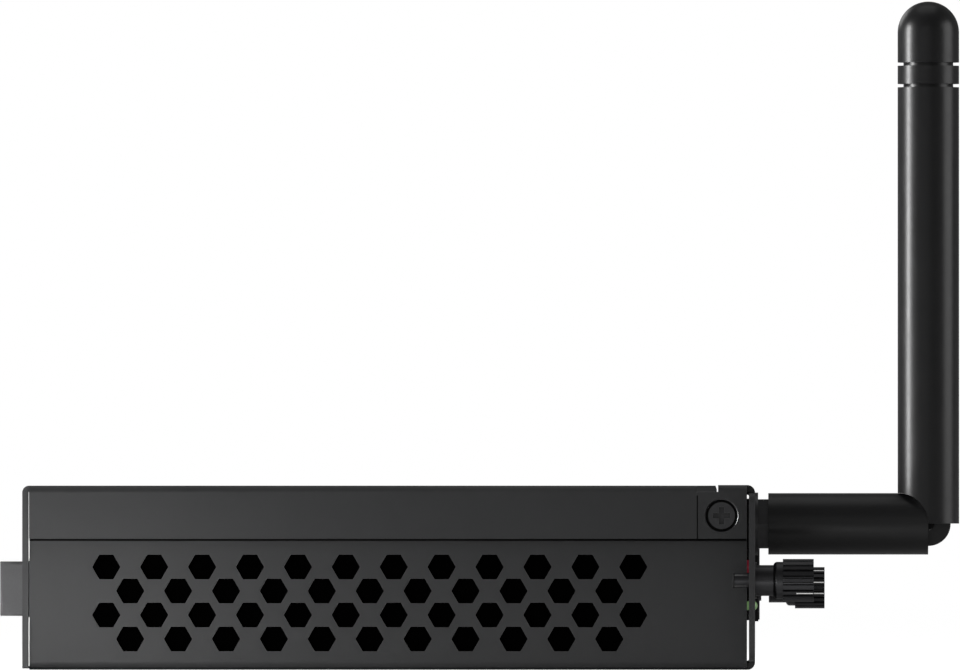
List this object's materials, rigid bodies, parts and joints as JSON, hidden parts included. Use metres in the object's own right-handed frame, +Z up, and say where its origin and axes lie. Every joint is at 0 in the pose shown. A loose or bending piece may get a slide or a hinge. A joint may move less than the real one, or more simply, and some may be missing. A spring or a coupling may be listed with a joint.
{
  "type": "slot-in display computer module",
  "caption": "Flat sheet-metal computer module for a display slot, with hexagonal side vents, a rear docking plug, eared port panel, captive thumb screws and a folding antenna.",
  "frame": {"origin": "middle of the case's underside, where the module rests on its slot's floor", "axes": "+X towards the port panel and the antenna, +Y across the slot, away from the side seen in the picture, +Z up"},
  "size_m": [0.1572, 0.2, 0.1088],
  "materials": {
    "case_paint": "fine matt powder coat",
    "cover_paint": "fine matt powder coat",
    "case_screw": "black oxide",
    "screen_black": "fine woven mesh",
    "board_lacquer": "solder lacquer",
    "post_brass": "turned",
    "board_screw": "nickel plated",
    "component_black": "moulded",
    "chip_silicon": "polished die on green carrier",
    "cold_plate_copper": "milled copper",
    "pipe_copper": "drawn copper",
    "fin_aluminium": "stamped",
    "blower_black": "moulded",
    "blower_lid_steel": "stamped",
    "rotor_black": "moulded",
    "socket_black": "moulded",
    "module_board": "solder lacquer",
    "card_board": "solder lacquer",
    "radio_shield": "tinned can",
    "cell_steel": "satin",
    "plug_steel": "satin nickel",
    "plug_black": "moulded",
    "contact_gold": "gold plated",
    "port_steel": "nickel plated",
    "port_blue": "moulded",
    "port_black": "moulded",
    "network_shell_dark": "nickel plated",
    "ring_green": "moulded",
    "ring_red": "moulded",
    "lamp_black": "moulded",
    "lens_green": "tinted lens",
    "lens_red": "tinted lens",
    "button_cap": "moulded",
    "switch_black": "moulded",
    "jack_dark": "black chromate",
    "bush_dark": "black zinc",
    "antenna_rubber": "smooth satin",
    "whip_rubber": "smooth satin",
    "pin_steel": "blackened",
    "thumb_black": "black zinc"
  },
  "bodies": {
    "case": {"base_tray": "case_paint", "top_cover": "cover_paint", "cover_screws": "case_screw", "vent_screens": "screen_black", "main_board": "board_lacquer", "board_posts": "post_brass", "board_screws": "board_screw", "board_components": "component_black", "processor": "chip_silicon", "cold_plate": "cold_plate_copper", "cold_plate_screws": "board_screw", "heat_pipe": "pipe_copper", "fin_stack": "fin_aluminium", "blower_housing": "blower_black", "blower_lid": "blower_lid_steel", "memory_socket": "socket_black", "memory_module": "module_board", "card_sockets": "socket_black", "storage_card": "card_board", "radio_card": "radio_shield", "card_posts": "post_brass", "card_screws": "board_screw", "cell_holder": "socket_black", "clock_cell": "cell_steel", "rear_plug_shell": "plug_steel", "rear_plug_body": "plug_black", "rear_plug_contacts": "contact_gold", "stacked_port_shells": "port_steel", "stacked_port_tongues": "port_blue", "video_a_shell": "port_steel", "video_a_tongue": "port_black", "video_b_shell": "port_steel", "video_b_tongue": "port_black", "network_shell": "network_shell_dark", "network_insert": "port_black", "network_contacts": "contact_gold", "audio_jacks": "port_black", "line_out_ring": "ring_green", "microphone_ring": "ring_red", "lamp_body": "lamp_black", "lamp_green": "lens_green", "lamp_red": "lens_red", "power_switch": "switch_black", "reset_switch": "switch_black", "antenna_jack": "jack_dark", "antenna_washer": "jack_dark", "antenna_nut": "jack_dark", "thumb_screw_bushes": "bush_dark"},
    "antenna_base": {"antenna_base": "antenna_rubber", "hinge_pin": "pin_steel"},
    "antenna_whip": {"antenna_whip": "whip_rubber"},
    "slide_washer_near": {"slide_washer_near": "bush_dark"},
    "slide_washer_far": {"slide_washer_far": "bush_dark"},
    "thumb_screw_near": {"thumb_screw_near": "thumb_black"},
    "thumb_screw_far": {"thumb_screw_far": "thumb_black"},
    "power_button": {"power_button": "button_cap"},
    "reset_button": {"reset_button": "button_cap"},
    "blower_rotor": {"blower_rotor": "rotor_black"}
  },
  "joints": [
    {"name": "antenna_swivel", "type": "hinge", "parent": "case", "child": "antenna_base", "pos_m": [0.0662, -0.075, 0.02373], "axis": [1, 0, 0], "continuous": true},
    {"name": "antenna_tilt", "type": "hinge", "parent": "antenna_base", "child": "antenna_whip", "pos_m": [0.08773, -0.075, 0.02373], "axis": [0, 1, 0], "range_deg": [0, 90]},
    {"name": "screw_slide_near", "type": "slide", "parent": "case", "child": "slide_washer_near", "axis": [1, 0, 0], "range_m": [0, 0.0023]},
    {"name": "screw_turn_near", "type": "hinge", "parent": "slide_washer_near", "child": "thumb_screw_near", "pos_m": [0.0645, -0.095, 0.0145], "axis": [1, 0, 0], "continuous": true},
    {"name": "screw_slide_far", "type": "slide", "parent": "case", "child": "slide_washer_far", "axis": [1, 0, 0], "range_m": [-0.0023, 0]},
    {"name": "screw_turn_far", "type": "hinge", "parent": "slide_washer_far", "child": "thumb_screw_far", "pos_m": [0.0645, 0.095, 0.0133], "axis": [1, 0, 0], "continuous": true},
    {"name": "power_press", "type": "slide", "parent": "case", "child": "power_button", "axis": [-1, 0, 0], "range_m": [0, 0.0009], "stiffness_N_per_m": 800, "springref_m": -0.0005},
    {"name": "reset_press", "type": "slide", "parent": "case", "child": "reset_button", "axis": [-1, 0, 0], "range_m": [0, 0.0005], "stiffness_N_per_m": 800, "springref_m": -0.0005},
    {"name": "blower_spin", "type": "hinge", "parent": "case", "child": "blower_rotor", "pos_m": [-0.021, 0.0445, 0.0145], "axis": [0, 0, 1], "continuous": true}
  ]
}
